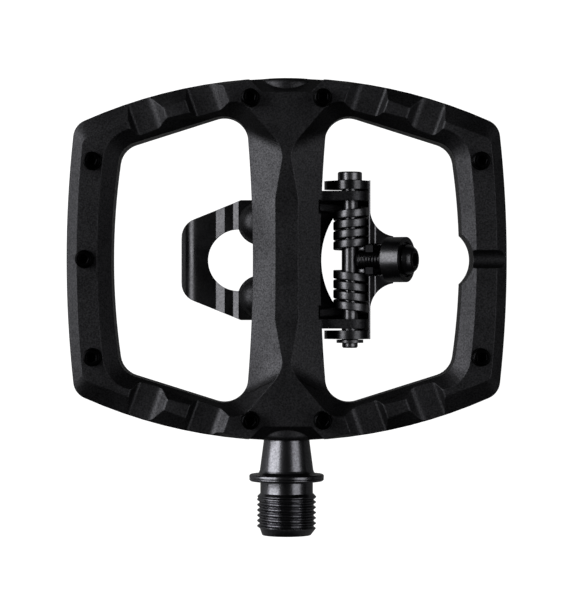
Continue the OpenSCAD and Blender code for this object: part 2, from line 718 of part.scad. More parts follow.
// Section of the jaw: shell under the springs, web to the screw's boss, arm and lip.
module jaw_section() {
    big = 2 * shell_out;
    arm = 3.2;                         // front face of the arm that carries the lip
    heel = 5.1;                        // its rear face
    tip = 0.9;                         // front edge of the lip
    web_z = 3.4;                       // flat top of the web
    screw_on = [cos(screw_tilt), sin(screw_tilt)];
    screw_down = tension_boss_r * [screw_on.y, -screw_on.x];
    web_low0 = (shell_out - 1.2) * screw_on + screw_down;
    web_low1 = (tension_t0 + 0.5) * screw_on + screw_down;
    translate([pivot_x, pivot_z]) {
        difference() {
            circle(r = shell_out);
            circle(r = shell_in);
            rotate(shell_to) translate([-big, 0]) square(2 * big);
            translate([-2 * big + shell_from, -big]) square(2 * big);
        }
        polygon([[heel - 0.4, web_z], web_low0, web_low1, [web_low1.x - 1.8, web_z]]);
        lip = lip_low - pivot_z;
        gap = lip_top - pivot_z;
        polygon([[2.4, -shell_in], [heel, -shell_in + 1.4], [heel, lip + 0.9], [heel - 0.9, lip],
            [tip + 0.7, lip], [tip, lip + 0.5], [tip, gap - 0.4], [tip + 0.5, gap], [arm - 0.4, gap],
            [arm, gap + 0.4], [arm, -shell_in - 0.8], [tip + 0.4, -shell_in - 1],
            [tip + 0.3, -shell_in]]);
    }
}

// The jaw from above: full width behind the springs, hollowed on both sides of the screw.
module jaw_outline() {
    saddle_r = 6.6;
    saddle_x = pivot_x + 11.4;
    saddle_y = 12.2;
    saddle_len = 6.5;
    translate([pivot_x - 5, -jaw_half]) square([jaw_rear - pivot_x + 5, 2 * jaw_half]);
    difference() {
        translate([jaw_rear - 1, -saddle_y]) square([saddle_len, 2 * saddle_y]);
        for (s = [-1, 1]) translate([saddle_x, s * saddle_y]) circle(r = saddle_r);
    }
}

module rear_jaw() {
    color("#323336") difference() {
        union() {
            intersection() {
                along_y(mid_y - jaw_half, mid_y + jaw_half) jaw_section();
                translate([0, mid_y, -30]) linear_extrude(60) jaw_outline();
            }
            for (y = [ear_y0, -jaw_half]) along_y(mid_y + y, mid_y + y + ear_t)
                translate([pivot_x, pivot_z]) {
                    polygon(ear_outline());
                    polygon([[0, 0], [ear_r, 0], [ear_r, 1 - shell_in], [2.4, -shell_in - 0.4],
                        [1.2, -shell_in - 0.4]]);
                }
            on_screw() translate([0, 0, tension_t0])
                cylinder(r = tension_boss_r, h = tension_t1 - tension_t0);
        }
        on_spindle() translate([pivot_x, -pivot_z, mid_y - 30]) cylinder(r = pivot_r + run_gap, h = 60);
        on_screw() {
            cylinder(r = screw_r + 0.15, h = 30);
            translate([0, 0, bore_t]) cylinder(r = bore_r, h = 10);
            translate([-slot_half, -slot_half, -2]) cube([2 * slot_half, 2 * slot_half, slot_t + 2]);
        }
    }
}

pin_head_t = 2.1;
clip_t = 0.8;
clip_y = jaw_half + 0.15;              // from the middle to the snap ring
clip_out_r = pivot_r + 1.25;
clip_groove_r = pivot_r - 0.5;
module pivot_pin() {
    head_y = jaw_half + 0.1;
    head = pivot_r + 0.95;
    clip_end = -clip_y - clip_t;
    tip = clip_end - 1.2;
    color("#47484b") on_spindle() translate([pivot_x, -pivot_z, mid_y]) rotate_extrude()
        polygon([[0, tip], [pivot_r - 0.35, tip], [pivot_r - 0.1, tip + 0.3], [pivot_r - 0.1, clip_end],
            [clip_groove_r, clip_end], [clip_groove_r, -clip_y], [pivot_r, -clip_y], [pivot_r, head_y],
            [head, head_y], [head, head_y + pin_head_t - bevel], [head - bevel, head_y + pin_head_t],
            [0, head_y + pin_head_t]]);
}

module pivot_pin_clip() {
    color("#56575a") translate([pivot_x, 0, pivot_z])
        collar(clip_groove_r + touch, clip_out_r, mid_y - clip_y - clip_t + touch, mid_y - clip_y - touch);
}

// Flat wire with bevelled corners, wound about the pivot axis. It starts beside the screw, with a
// leg along the nut's face, and ends under the pin, with a leg that reaches the tube's notch.
wire_t = spring_r - pivot_r - 0.6;     // thickness of the wire, across the coil
wire_bevel = 0.25;
coil_n = 24;                           // steps of one turn
coil_x = 0.2;                          // the coils sit back on the pin
coil_r = spring_r - wire_t / 2;
coil_a = 180 + screw_tilt;             // angle over which the wire widens
leg_y = [screw_r + 0.1, screw_r + 1.25]; // sides of the narrow leg that stands on the nut
leg_in = 1.2;                          // lengths of the legs
leg_out = pivot_x + coil_x - tube_half + notch_x - 0.25;

// Inner and outer edge of the wire after the angle a.
function coil_y(a) = a < coil_a
    ? leg_y + (coil_y0 * [1, 1] + [0, wire] - leg_y) * a / coil_a
    : [0, wire] + (coil_y0 + coil_pitch * (a - coil_a) / 360) * [1, 1];

function wire_ring(a, along, y) = let (
        out = [cos(screw_tilt - a), 0, sin(screw_tilt - a)],
        on = [out.z, 0, -out.x],
        h = wire_t / 2,
        b = wire_bevel)
    [for (q = [[h - b, y[0]], [h, y[0] + b], [h, y[1] - b], [h - b, y[1]],
        [b - h, y[1]], [-h, y[1] - b], [-h, y[0] + b], [b - h, y[0]]])
        (coil_r + q.x) * out + along * on + [0, q.y, 0]];

module spring() {
    last = coil_a + 360 * coil_turns;
    steps = ceil(last / 360 * coil_n);
    translate([pivot_x + coil_x, mid_y, pivot_z]) loft(concat(
        [wire_ring(0, -leg_in, leg_y)],
        [for (i = [0:steps]) let (a = last * i / steps) wire_ring(a, 0, coil_y(a))],
        [wire_ring(last, leg_out, coil_y(last) + leg_shift * [1, 1])]));
}

module spring_outboard() { color("#4b4c4f") spring(); }
module spring_inboard() {
    color("#4b4c4f") translate([0, 2 * mid_y, 0]) mirror([0, 1, 0]) spring();
}

// ---------- spring tension ----------
// The screw turns between the counterbore's floor and the snap ring, and the nut travels on it.
play = 0.05;                           // of the screw between floor and ring
flange_t0 = bore_t + play;
ring_t0 = flange_t0 + 0.6;
ring_len = 0.6;
head_r = 3.7;
head_len = 2.8;
head_flats = 3;
neck_in_r = 3;                         // under the snap ring
module tension_screw() {
    head_t0 = ring_t0 + ring_len + play;
    start = pivot_r + 0.3;
    color("#3c3d40") on_screw() difference() {
        rotate_extrude() polygon([
            [0, start], [screw_r - end_bevel, start], [screw_r, start + end_bevel],
            [screw_r, flange_t0], [bore_r - 0.2, flange_t0], [bore_r - 0.2, ring_t0 - play],
            [neck_in_r, ring_t0 - play], [neck_in_r, head_t0],
            [head_r, head_t0], [head_r, head_t0 + head_len - 2], [head_r - 0.4, head_t0 + head_len - 1],
            [head_r - 1.3, head_t0 + head_len], [0, head_t0 + head_len]]);
        translate([0, 0, head_t0 + 0.9]) cylinder(r = hex_r(head_flats), h = head_len, $fn = 6);
    }
}

module tension_ring() {
    color("#7c7e82") on_screw() translate([0, 0, ring_t0]) difference() {
        cylinder(r = bore_r - touch, h = ring_len);
        translate([0, 0, -1]) cylinder(r = neck_in_r + 0.08, h = ring_len + 2);
    }
}

module tension_nut() {
    color("#5b5c5f") on_screw() difference() {
        translate([-nut_high, slot_gap - slot_half, nut_t0])
            cube([nut_high + nut_low, 2 * (slot_half - slot_gap), nut_len]);
        cylinder(r = screw_r + run_gap, h = 20);
    }
}

platform_body();
flat_side_pins();
clip_side_pins();
spindle();
inboard_seal();
inboard_bush();
bearing_outer_races();
bearing_inner_races();
bearing_balls();
bearing_cages();
bearing_shields();
race_spacer();
lock_washer();
spindle_lock_nut();
end_cap();
end_cap_ring();
front_claw();
front_claw_screws();
rear_jaw();
pivot_pin();
pivot_pin_clip();
spring_outboard();
spring_inboard();
tension_screw();
tension_ring();
tension_nut();
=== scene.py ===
import bmesh
import bpy
import numpy as np
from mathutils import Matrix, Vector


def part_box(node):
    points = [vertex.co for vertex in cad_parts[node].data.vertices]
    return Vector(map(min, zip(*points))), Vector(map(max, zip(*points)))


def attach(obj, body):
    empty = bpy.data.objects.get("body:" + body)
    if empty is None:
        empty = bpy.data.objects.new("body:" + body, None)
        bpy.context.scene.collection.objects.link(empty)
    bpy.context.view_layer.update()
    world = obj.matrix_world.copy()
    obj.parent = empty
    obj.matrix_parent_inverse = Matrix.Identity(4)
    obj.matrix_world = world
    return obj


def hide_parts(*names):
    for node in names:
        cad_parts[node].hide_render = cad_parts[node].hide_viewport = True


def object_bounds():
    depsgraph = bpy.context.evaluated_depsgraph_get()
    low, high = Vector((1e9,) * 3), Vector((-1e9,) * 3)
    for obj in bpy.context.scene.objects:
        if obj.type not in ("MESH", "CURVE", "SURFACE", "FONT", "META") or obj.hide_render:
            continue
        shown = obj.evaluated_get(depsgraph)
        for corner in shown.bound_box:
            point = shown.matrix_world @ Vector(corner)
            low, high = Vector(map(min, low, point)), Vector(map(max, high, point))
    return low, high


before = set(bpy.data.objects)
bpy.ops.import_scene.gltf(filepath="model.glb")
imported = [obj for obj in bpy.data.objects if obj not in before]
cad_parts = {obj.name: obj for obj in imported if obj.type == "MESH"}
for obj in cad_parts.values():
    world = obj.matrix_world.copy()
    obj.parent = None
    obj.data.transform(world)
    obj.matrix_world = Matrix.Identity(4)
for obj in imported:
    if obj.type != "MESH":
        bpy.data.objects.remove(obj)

cad_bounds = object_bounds()

# ---- platform body -------------------------------------------------------------------------
# The real piece is one aluminium forging: its outline, windows, scallops and tube are milled,
# then it is bead blasted and anodised black. The spindle, the pins and the clip fasten to it.
MM = 0.001
WANDER_MM = 9                   # width of the patches in which the roughness wanders
RELIEF_MM = 0.03                # depth of a grain or groove of height one
WAVE_LENGTH = 0.314             # distance between two bands of a wave texture of scale one


def linear(code):
    """sRGB hex to linear RGBA: each channel over 255, then ((c + 0.055) / 1.055) to the 2.4."""
    c = np.array([int(code[i:i + 2], 16) for i in (1, 3, 5)]) / 255
    return (*np.where(c > 0.04045, ((c + 0.055) / 1.055) ** 2.4, c / 12.92), 1.0)


def add(tree, kind, inputs=None, **settings):
    """Adds one shader node with its settings; inputs hold either values or sockets to link."""
    node = tree.nodes.new("ShaderNode" + kind)
    for name, value in settings.items():
        setattr(node, name, value)
    for name, value in (inputs or {}).items():
        if isinstance(value, bpy.types.NodeSocket):
            tree.links.new(value, node.inputs[name])
        else:
            node.inputs[name].default_value = value
    return node


def new_material(name):
    """An empty material, its node tree and a Principled shader joined to its output."""
    material = bpy.data.materials.new(name)
    material.use_nodes = True
    tree = material.node_tree
    tree.nodes.clear()
    shader = add(tree, "BsdfPrincipled")
    add(tree, "OutputMaterial", {"Surface": shader.outputs[0]})
    return material, tree, shader


def metal_finish(name, colour, roughness, metallic=1.0, grain_mm=0.35, grain=0.25, edge_mm=0.2,
                 uneven=0.06, speckle=0.25, axis=None, groove_mm=0.3, groove=0.0, blast=False):
    """A finished metal: fine grain and, about an axis, the lathe's grooves lift the surface;
    the edges are eased by edge_mm; roughness wanders by uneven over about a centimetre.
    With blast, the grain is at its full depth on faces square to Z and light on the milled rest."""
    material, tree, shader = new_material(name)
    place = add(tree, "TexCoord").outputs["Object"]
    fine = add(tree, "TexNoise", {"Vector": place, "Scale": 1 / (grain_mm * MM), "Detail": 3.0,
                                  "Roughness": 0.65})
    broad = add(tree, "TexNoise", {"Vector": place, "Scale": 1 / (WANDER_MM * MM), "Detail": 4.0})
    height = add(tree, "Math", {0: fine.outputs[0], 1: grain}, operation="MULTIPLY").outputs[0]
    if blast:
        up = add(tree, "SeparateXYZ", {0: add(tree, "NewGeometry").outputs["Normal"]}).outputs["Z"]
        level = add(tree, "Math", {0: up}, operation="ABSOLUTE")
        square = add(tree, "MapRange", {"Value": level.outputs[0], "From Min": 0.86, "From Max": 0.97,
                                        "To Min": 0.3, "To Max": 1.0})
        height = add(tree, "Math", {0: height, 1: square.outputs[0]}, operation="MULTIPLY").outputs[0]
    if axis is not None:
        lathed = add(tree, "TexWave", {"Vector": place, "Scale": WAVE_LENGTH / (groove_mm * MM),
                                       "Distortion": 0.6, "Detail": 2.0, "Detail Scale": 1.0},
                     bands_direction=axis)
        lift = add(tree, "Math", {0: lathed.outputs["Fac"], 1: groove}, operation="MULTIPLY")
        height = add(tree, "Math", {0: height, 1: lift.outputs[0]}, operation="ADD").outputs[0]
    edges = add(tree, "Bevel", {"Radius": edge_mm * MM}, samples=6)
    bump = add(tree, "Bump", {"Height": height, "Strength": 0.5, "Distance": RELIEF_MM * MM,
                              "Normal": edges.outputs[0]})
    tree.links.new(bump.outputs[0], shader.inputs["Normal"])
    spread = add(tree, "MapRange", {"Value": broad.outputs[0], "From Min": 0.3, "From Max": 0.7,
                                    "To Min": roughness - uneven, "To Max": roughness + uneven})
    tree.links.new(spread.outputs[0], shader.inputs["Roughness"])
    spots = add(tree, "MapRange", {"Value": fine.outputs[0], "From Min": 0.35, "From Max": 0.65})
    base = linear(colour)
    light = tuple(min(1.0, v * (1 + speckle)) for v in base[:3]) + (1.0,)
    dark = tuple(v * (1 - speckle) for v in base[:3]) + (1.0,)
    mix = add(tree, "Mix", {0: spots.outputs[0], 6: dark, 7: light}, data_type="RGBA")
    tree.links.new(mix.outputs[2], shader.inputs["Base Color"])
    shader.inputs["Metallic"].default_value = metallic
    return material


def put_on(piece, body, slot, material, *nodes):
    """Gives a piece its material and body, and hides the CAD nodes that it stands for; slot is not used.
    """
    piece.data.materials.clear()
    piece.data.materials.append(material)
    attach(piece, body)
    if nodes:
        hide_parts(*nodes)


def smooth_copy(node, name, sharp_deg, bevel_mm=0.0):
    """A merged copy of a CAD node: flat triangles joined, edges under sharp_deg shaded round,
    and the sharper ones cut back by bevel_mm."""
    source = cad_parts[node]
    mesh = source.data.copy()
    mesh.name = name
    work = bmesh.new()
    work.from_mesh(mesh)
    bmesh.ops.remove_doubles(work, verts=work.verts, dist=0.002 * MM)
    bmesh.ops.dissolve_limit(work, angle_limit=np.radians(0.2), verts=work.verts, edges=work.edges)
    bmesh.ops.recalc_face_normals(work, faces=work.faces)
    work.to_mesh(mesh)
    work.free()
    if "custom_normal" in mesh.attributes:
        mesh.attributes.remove(mesh.attributes["custom_normal"])
    mesh.shade_smooth()
    mesh.set_sharp_from_angle(angle=np.radians(sharp_deg))
    piece = bpy.data.objects.new(name, mesh)
    bpy.context.scene.collection.objects.link(piece)
    if bevel_mm:
        bevel = piece.modifiers.new("eased_edges", "BEVEL")
        bevel.width = bevel_mm * MM
        bevel.segments = 3
        bevel.limit_method = "ANGLE"
        bevel.angle_limit = np.radians(sharp_deg)
        bevel.harden_normals = True
    return piece


# Glass beads leave dimples of about 0.1 mm; they are drawn 0.4 mm wide so that they show as a
# dark satin with a sparkle, and the milled slopes between the faces stay smoother.
blasted_aluminium = metal_finish("bead_blasted_black_anodised_aluminium", "#303032", 0.47,
                                 grain_mm=0.4, grain=1.6, edge_mm=0.28, speckle=0.45, blast=True)
body = smooth_copy("platform_body", "platform_forging", 24)
put_on(body, "platform", "anodised_aluminium", blasted_aluminium, "platform_body")

# ---- traction pins -------------------------------------------------------------------------
# Seventeen steel grub screws, blackened, turned into the platform from each face. Each stands
# four millimetres proud, with its thread showing and a hexagon socket in its top.
BODY_LOW, BODY_HIGH = (np.array(v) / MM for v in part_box("platform_body"))
HALF_X = (BODY_HIGH[0] - BODY_LOW[0]) / 2
MID_Y = (BODY_HIGH[1] + BODY_LOW[1]) / 2
HALF_Y = 43.3                   # half the width, with what the end recesses cut away
FACE_Z = BODY_HIGH[2]


def eased(profile, radius, steps=4):
    """Rounds a profile's corners: each is replaced by a parabola that starts and ends at most
    radius from it. Rows are height, radius and share of hexagon."""
    rows = np.array(profile, float)
    out = [rows[:1]]
    for before, corner, after in zip(rows[:-2], rows[1:-1], rows[2:]):
        back, on = before - corner, after - corner
        a = corner + back * min(0.45, radius / max(np.linalg.norm(back[:2]), 1e-6))
        b = corner + on * min(0.45, radius / max(np.linalg.norm(on[:2]), 1e-6))
        s = np.linspace(0, 1, steps)[:, None]
        out.append((1 - s) ** 2 * a + 2 * s * (1 - s) * corner + s ** 2 * b)
    return np.vstack(out + [rows[-1:]])


def with_thread(rows, start, end, pitch):
    """Adds rows from start to end, twelve to each turn of a thread, where the profile first
    climbs past start."""
    foot = np.flatnonzero((rows[:-1, 0] <= start) & (rows[1:, 0] > start))[0] + 1
    heights = np.arange(start, end, pitch / 12)[1:]
    wall = np.column_stack([heights, np.full(len(heights), rows[foot - 1, 1]), np.zeros(len(heights))])
    return np.vstack([rows[:foot], wall, rows[foot:]])


def turned(rows, columns=72, thread=None):
    """A lathe's surface: row i is a ring at height z_i. Its radius is r_i, or that of a hexagon
    whose flats are r_i from the axis where the row's third value is 1. A thread takes away
    depth times a rounded V, whose phase is height over pitch plus hand times angle over a turn."""
    z, r, hexagon = (rows[:, i, None] for i in range(3))
    angle = np.linspace(0, 2 * np.pi, columns, endpoint=False)[None, :]
    sixth = np.pi / 3
    flats = r / np.cos((angle + sixth / 2) % sixth - sixth / 2)
    radius = r * (1 - hexagon) + flats * hexagon
    if thread:
        start, end, pitch, depth, hand = thread
        phase = (z / pitch + hand * angle / (2 * np.pi)) % 1
        vee = 0.5 - 0.5 * np.cos(2 * np.pi * phase)
        fade = np.clip(np.minimum(z - start, end - z) / (0.7 * pitch), 0, 1)
        outside = r > 0.9 * r[(z > start) & (z < end)].max()
        radius = radius - depth * vee ** 0.8 * fade * outside
    return np.stack([radius * np.cos(angle), radius * np.sin(angle), z + 0 * angle], axis=2)


def placed(grid, origin, across, axis):
    """Carries a grid from its own axes to origin, with x along across and z along axis."""
    z = np.array(axis, float) / np.linalg.norm(axis)
    x = np.array(across, float) - np.dot(across, z) * z
    x /= np.linalg.norm(x)
    return np.array(origin, float) + grid @ np.array([x, np.cross(z, x), z])


def surface(name, grids, sharp_deg=40):
    """Makes one mesh of closed grids given in millimetres: quads between neighbouring rows and
    columns, the columns joined round, and the first and last row drawn together if they are poles."""
    points, faces, start = [], [], 0
    for grid in grids:
        rows, columns = grid.shape[:2]
        i, j = np.meshgrid(np.arange(rows - 1), np.arange(columns), indexing="ij")
        k = (j + 1) % columns
        quad = np.stack([i * columns + j, i * columns + k, (i + 1) * columns + k, (i + 1) * columns + j])
        points.append(grid.reshape(-1, 3))
        faces.append(quad.reshape(4, -1).T + start)
        start += rows * columns
    mesh = bpy.data.meshes.new(name)
    mesh.from_pydata(np.vstack(points) * MM, [], np.vstack(faces))
    work = bmesh.new()
    work.from_mesh(mesh)
    bmesh.ops.remove_doubles(work, verts=work.verts, dist=0.0005 * MM)
    bmesh.ops.dissolve_degenerate(work, edges=work.edges, dist=0.0005 * MM)
    work.to_mesh(mesh)
    work.free()
    mesh.shade_smooth()
    mesh.set_sharp_from_angle(angle=np.radians(sharp_deg))
    piece = bpy.data.objects.new(name, mesh)
    bpy.context.scene.collection.objects.link(piece)
    return piece


PIN_R, PIN_STAND, PIN_DEPTH, PIN_HEX = 2.1, 4.0, 6.0, 2.0
PIN_PITCH, PIN_THREAD_DEPTH = 0.7, 0.28
PIN_THREAD_END = PIN_STAND - 0.5
PIN_FLOOR = PIN_STAND - 2.5
pin_profile = eased([
    (PIN_FLOOR, 0, 1), (PIN_FLOOR, PIN_HEX / 2, 1), (PIN_STAND - 0.1, PIN_HEX / 2, 1),
    (PIN_STAND, PIN_HEX / 2 + 0.12, 1), (PIN_STAND, PIN_R - 0.35, 0), (PIN_STAND - 0.35, PIN_R, 0),
    (-PIN_DEPTH, PIN_R, 0), (-PIN_DEPTH, 0, 0)], 0.08)[::-1]
pin_rows = with_thread(pin_profile, -0.8, PIN_THREAD_END, PIN_PITCH)
pin_grid = turned(pin_rows, 48, (-0.8, PIN_THREAD_END, PIN_PITCH, PIN_THREAD_DEPTH, -1))
RAIL_PIN = (HALF_X - 6.4, HALF_Y - 20)
TUBE_PIN = (8.6, HALF_Y - 5)
MIDDLE_PIN = (4.5 - HALF_X, 0)
corner_pins = [(x * sx, y * sy) for x, y in (RAIL_PIN, TUBE_PIN) for sx in (-1, 1) for sy in (-1, 1)]


def pin_group(name, places, side):
    """One pin at each place; side is 1 for the plain face and -1 for the face with the clip.
    Each is screwed in to another angle, 0.6 radians past the one before."""
    grids = []
    for i, (x, y) in enumerate(places):
        across = (np.cos(0.6 * i), np.sin(0.6 * i), 0)
        grids.append(placed(pin_grid, (x, MID_Y + y, side * FACE_Z), across, (0, 0, side)))
    return surface(name, grids)


# A thin phosphate coat over a fine grain: nearly black, with small dull highlights on the threads.
pin_black = metal_finish("matt_black_phosphated_steel", "#0c0c0d", 0.3, grain_mm=0.5, grain=0.5,
                         edge_mm=0.12)
flat_pins = pin_group("flat_side_grub_pins", corner_pins + [MIDDLE_PIN], 1)
put_on(flat_pins, "platform", "black_steel", pin_black, "flat_side_pins")
clip_pins = pin_group("clip_side_grub_pins", corner_pins, -1)
put_on(clip_pins, "platform", "black_steel", pin_black, "clip_side_pins")

# ---- spindle -------------------------------------------------------------------------------
# Forged steel, turned and blackened: a threaded end with a left-hand thread and a hexagon
# socket, a relief groove, the flange that seats on the crank, and a taper into the platform.
THREAD_R, THREAD_LEN, THREAD_PITCH, THREAD_DEPTH = 7.14, 13.0, 1.27, 0.62
SOCKET_R, SOCKET_FLOOR = 4.0, -5.0
RELIEF_R, RELIEF_LEN = 6.35, 2.9
FLANGE_R, FLANGE_T = 9.0, 1.65
JOURNAL_R, CORE_R, RACE_R = 5.0, 4.2, 3.0
spindle_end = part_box("spindle")[1][1] / MM
spindle_profile = [
    (SOCKET_FLOOR, 0, 1), (SOCKET_FLOOR, SOCKET_R, 1), (-THREAD_LEN + 0.3, SOCKET_R, 1),
    (-THREAD_LEN, SOCKET_R + 0.3, 1), (-THREAD_LEN, THREAD_R - 1.3, 0), (-THREAD_LEN + 1.7, THREAD_R, 0),
    (-RELIEF_LEN - 0.8, THREAD_R, 0), (-RELIEF_LEN, RELIEF_R, 0), (-0.2, RELIEF_R, 0),
    (0, RELIEF_R + 0.2, 0),
    (0, FLANGE_R - 0.35, 0), (0.35, FLANGE_R, 0), (0.62, FLANGE_R, 0), (0.7, FLANGE_R - 0.14, 0),
    (0.78, FLANGE_R, 0), (FLANGE_T - 0.25, FLANGE_R, 0), (FLANGE_T, FLANGE_R - 0.25, 0),
    (FLANGE_T, 7.35, 0), (FLANGE_T + 0.4, 6.7, 0), (FLANGE_T + 1, 6.45, 0),
    (9.5, 5.55, 0), (10.15, 5.5, 0), (10.25, 5.3, 0), (12.7, 5.3, 0), (12.8, JOURNAL_R, 0),
    (25.5, JOURNAL_R, 0), (29.9, CORE_R, 0), (77.9, CORE_R, 0), (78.15, 3.95, 0), (78.5, 3.95, 0),
    (78.52, RACE_R, 0), (spindle_end - 0.4, RACE_R, 0), (spindle_end, 2.6, 0), (spindle_end, 0, 0)]
crank_thread = (-THREAD_LEN + 0.5, -RELIEF_LEN - 0.7, THREAD_PITCH, THREAD_DEPTH, 1)
spindle_rows = with_thread(eased(spindle_profile, 0.12), -THREAD_LEN + 1.85, -RELIEF_LEN - 0.95,
                           THREAD_PITCH)
# Turning grooves run round it, too fine to count: the light lies on it in long soft bands, and
# it looks smoother and greyer than the blasted body.
satin_steel = metal_finish("satin_black_turned_steel", "#5a5a5e", 0.25, grain_mm=0.5, grain=0.08,
                           edge_mm=0.1, uneven=0.02, axis="Y", groove_mm=0.35, groove=0.1)
spindle = surface("spindle_forging", [placed(turned(spindle_rows, 160, crank_thread),
                                             (0, 0, 0), (1, 0, 0), (0, 1, 0))])
put_on(spindle, "spindle_body", "satin_black_steel", satin_steel, "spindle")

# ---- bearings and seals --------------------------------------------------------------------
# Two small cartridge bearings run at the spindle's outer end, with a spacer between their inner
# races; a moulded bush and a rubber seal run at the crank end. Ground steel, brass and nylon.
# Ground steel mirrors what is round it in narrow rings; the turned and pressed steels are duller,
# the brass is warm, and the nylon and rubber take the light softly, with no metal in it.
ground_steel = metal_finish("ground_bearing_steel", "#c9ccd0", 0.14, grain_mm=0.3, grain=0.1,
                            edge_mm=0.05, axis="Y", groove_mm=0.2, groove=0.15)
pressed_brass = metal_finish("pressed_brass", "#b08a45", 0.3, edge_mm=0.05)
pressed_steel = metal_finish("pressed_shield_steel", "#5c5d60", 0.3, edge_mm=0.05)
turned_steel = metal_finish("turned_bright_steel", "#a7a9ad", 0.25, edge_mm=0.08, axis="Y",
                            groove_mm=0.25, groove=0.25)
moulded_nylon = metal_finish("moulded_nylon", "#4a3f2a", 0.5, metallic=0.0, edge_mm=0.08)
seal_rubber = metal_finish("seal_rubber", "#1b1b1b", 0.62, metallic=0.0, edge_mm=0.08, grain=0.5)
for node, material in (
        ("bearing_outer_races", ground_steel), ("bearing_inner_races", ground_steel),
        ("bearing_balls", ground_steel), ("bearing_cages", pressed_brass),
        ("bearing_shields", pressed_steel), ("race_spacer", turned_steel),
        ("lock_washer", turned_steel), ("spindle_lock_nut", turned_steel),
        ("inboard_bush", moulded_nylon), ("inboard_seal", seal_rubber),
        ("end_cap_ring", seal_rubber)):
    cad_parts[node].data.materials.clear()
    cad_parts[node].data.materials.append(material)

# ---- end cap -------------------------------------------------------------------------------
# A thin aluminium cap, turned and anodised black, screwed into the tube's outer end. It has a
# hexagon recess for a key and a groove for the rubber ring.
# Dyed black over turning rings, which show as faint circles round the cap's middle.
cap_finish = metal_finish("turned_black_anodised_aluminium", "#38383a", 0.28, grain=0.3,
                          edge_mm=0.12, axis="Y", groove_mm=0.3, groove=0.3)
end_cap = smooth_copy("end_cap", "turned_end_cap", 30, 0.08)
put_on(end_cap, "platform", "anodised_cap", cap_finish, "end_cap")

# ---- front claw ----------------------------------------------------------------------------
# Steel plate, punched, bent into a hook and blackened. Two button-headed screws hold it to the
# bosses beside the tube, and a shoe cleat's nose goes under its hook.
# The oxide is thinner than any paint, so the steel's own sheen shows through: dark faces, and a
# clear pale streak where a bend or an eased edge turns to the light.
black_oxide = metal_finish("black_oxide_steel", "#404042", 0.3, grain_mm=0.5, grain=0.5, edge_mm=0.12)
claw = smooth_copy("front_claw", "bent_front_claw", 22, 0.22)
put_on(claw, "platform", "black_steel", black_oxide, "front_claw")
claw_screws = smooth_copy("front_claw_screws", "claw_button_screws", 30, 0.15)
put_on(claw_screws, "platform", "black_steel", black_oxide, "front_claw_screws")

# ---- rear jaw ------------------------------------------------------------------------------
# A sintered steel jaw, blackened: two ears on the pivot pin, a shell behind the springs, a lip
# that holds the cleat's tail, and a boss for the tension screw.
jaw = smooth_copy("rear_jaw", "sintered_rear_jaw", 22, 0.2)
put_on(jaw, "jaw", "black_steel", black_oxide, "rear_jaw")

# ---- pivot pin -----------------------------------------------------------------------------
# A headed steel pin, ground smooth and lightly blued, kept in the lugs by a snap ring.
# Tempering leaves the spring steel a dark grey with a broad sheen. The pin, ground after it, is
# paler, with a narrow line of light along it.
blued_steel = metal_finish("blued_spring_steel", "#5a5a5d", 0.36, grain_mm=0.5, grain=0.15, edge_mm=0.12,
                           uneven=0.03)
ground_pin = metal_finish("ground_dark_steel", "#666669", 0.33, grain_mm=0.4, grain=0.1, edge_mm=0.1,
                          uneven=0.03, axis="Y", groove_mm=0.3, groove=0.1)
pivot_pin = smooth_copy("pivot_pin", "headed_pivot_pin", 30, 0.12)
put_on(pivot_pin, "platform", "pin_steel", ground_pin, "pivot_pin")
pin_ring = smooth_copy("pivot_pin_clip", "pin_snap_ring", 30, 0.1)
put_on(pin_ring, "platform", "spring_steel", blued_steel, "pivot_pin_clip")

# ---- springs -------------------------------------------------------------------------------
# Two torsion springs of flat wire, wound opposite ways round the pin. Each starts with a leg on
# the tension nut's face and ends with a leg in the tube's notch. Blued spring steel.
PIVOT = np.array([15.35, MID_Y, -3.5])
TILT = np.radians(27)           # slope of the tension screw
SCREW_R = 2.05                  # the screw runs between the two springs
WIRE_W, WIRE_T = 2.05, 1.65     # along the pin and across the coil
COIL_R = 4.25 - WIRE_T / 2
COIL_GAP, COIL_X = 0.35, 0.2
COIL_Y0 = SCREW_R + COIL_GAP
LEG_Y = (SCREW_R + 0.1, SCREW_R + 1.25)
LEG_LEAN = 0.5                  # the outer leg leans outwards
FIRST = np.pi + TILT
LAST = FIRST + 2 * np.pi * 3.75
CORNER = 0.28                   # power of the squircle


